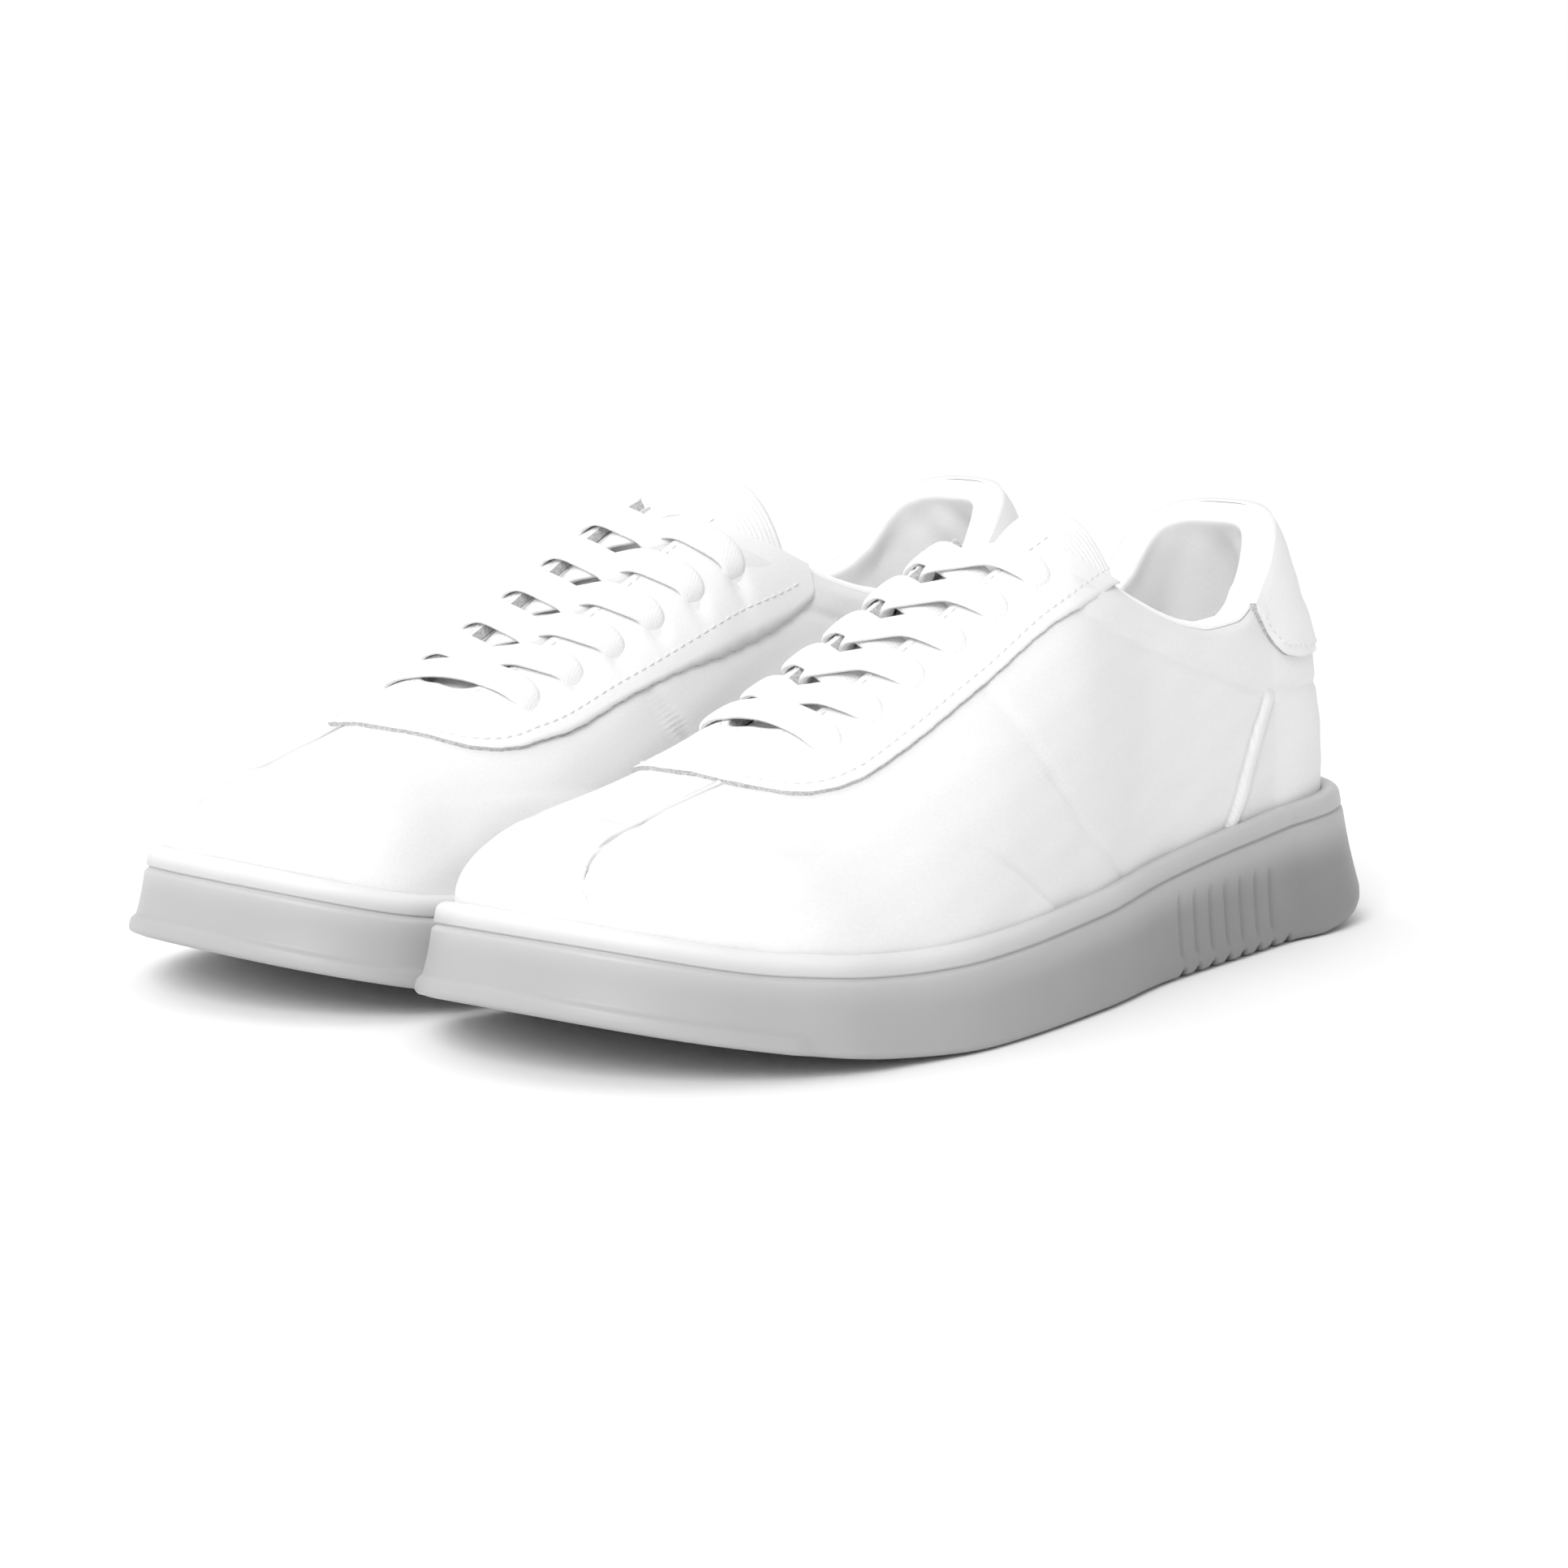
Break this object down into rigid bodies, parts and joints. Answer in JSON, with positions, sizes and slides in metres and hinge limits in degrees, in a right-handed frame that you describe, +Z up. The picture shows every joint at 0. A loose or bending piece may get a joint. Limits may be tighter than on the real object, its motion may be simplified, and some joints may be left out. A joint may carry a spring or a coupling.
{
  "type": "pair of laced low sneakers",
  "caption": "Pair of low laced sneakers with cup soles, padded collars and tongues; each has an open foot space and a tongue that presses down.",
  "frame": {"origin": "middle of the pair's footprint, on the ground", "axes": "+X towards the toes, +Y towards the left shoe, +Z up"},
  "size_m": [0.31, 0.2384, 0.1127],
  "materials": {
    "sole_rubber": "frosted translucent rubber, satin",
    "sole_foam": "expanded foam, matt",
    "filler_cork": "cork sheet, matt",
    "board_fibre": "fibre board, matt",
    "footbed_textile": "brushed textile over foam",
    "upper_leather": "fine smooth grain, low sheen",
    "stiffener": "heat-formed sheet, matt",
    "padding_foam": "open-cell foam",
    "collar_knit": "fine ribbed knit",
    "lining_textile": "plain woven lining",
    "overlay_leather": "fine smooth grain with raw cut edges",
    "backing_tape": "woven tape",
    "label_tape": "ribbed grosgrain tape",
    "lace_cotton": "flat woven lace",
    "aglet_film": "clear film sleeve"
  },
  "bodies": {
    "left_shoe": {"left_outsole": "sole_rubber", "left_midsole_insert": "sole_foam", "left_bottom_filler": "filler_cork", "left_insole_board": "board_fibre", "left_footbed": "footbed_textile", "left_vamp": "upper_leather", "left_outer_quarter": "upper_leather", "left_inner_quarter": "upper_leather", "left_heel_counter": "stiffener", "left_guard_core": "stiffener", "left_toe_puff": "stiffener", "left_collar_foam": "padding_foam", "left_collar_lining": "collar_knit", "left_forefoot_lining": "lining_textile", "left_heel_tab": "overlay_leather", "left_eyestay": "overlay_leather", "left_eyestay_backing": "backing_tape", "left_lace": "lace_cotton", "left_outer_aglet": "aglet_film", "left_inner_aglet": "aglet_film"},
    "left_tongue": {"left_tongue_face": "upper_leather", "left_tongue_foam": "padding_foam", "left_tongue_back": "lining_textile", "left_tongue_label": "label_tape"},
    "right_shoe": {"right_outsole": "sole_rubber", "right_midsole_insert": "sole_foam", "right_bottom_filler": "filler_cork", "right_insole_board": "board_fibre", "right_footbed": "footbed_textile", "right_vamp": "upper_leather", "right_outer_quarter": "upper_leather", "right_inner_quarter": "upper_leather", "right_heel_counter": "stiffener", "right_guard_core": "stiffener", "right_toe_puff": "stiffener", "right_collar_foam": "padding_foam", "right_collar_lining": "collar_knit", "right_forefoot_lining": "lining_textile", "right_heel_tab": "overlay_leather", "right_eyestay": "overlay_leather", "right_eyestay_backing": "backing_tape", "right_lace": "lace_cotton", "right_outer_aglet": "aglet_film", "right_inner_aglet": "aglet_film"},
    "right_tongue": {"right_tongue_face": "upper_leather", "right_tongue_foam": "padding_foam", "right_tongue_back": "lining_textile", "right_tongue_label": "label_tape"}
  },
  "joints": [
    {"name": "right_shoe_lift", "type": "slide", "parent": "left_shoe", "child": "right_shoe", "axis": [0, 0, 1], "range_m": [0, 0.15]},
    {"name": "left_tongue_press", "type": "hinge", "parent": "left_shoe", "child": "left_tongue", "pos_m": [0.08269, 0.0579, 0.0585], "axis": [-0.0536, 0.9986, 0], "range_deg": [-8, 0], "stiffness_Nm_per_rad": 0.3, "springref_deg": 1.72},
    {"name": "right_tongue_press", "type": "hinge", "parent": "right_shoe", "child": "right_tongue", "pos_m": [0.08269, -0.0579, 0.0585], "axis": [0.0536, 0.9986, 0], "range_deg": [-8, 0], "stiffness_Nm_per_rad": 0.3, "springref_deg": 1.72}
  ]
}
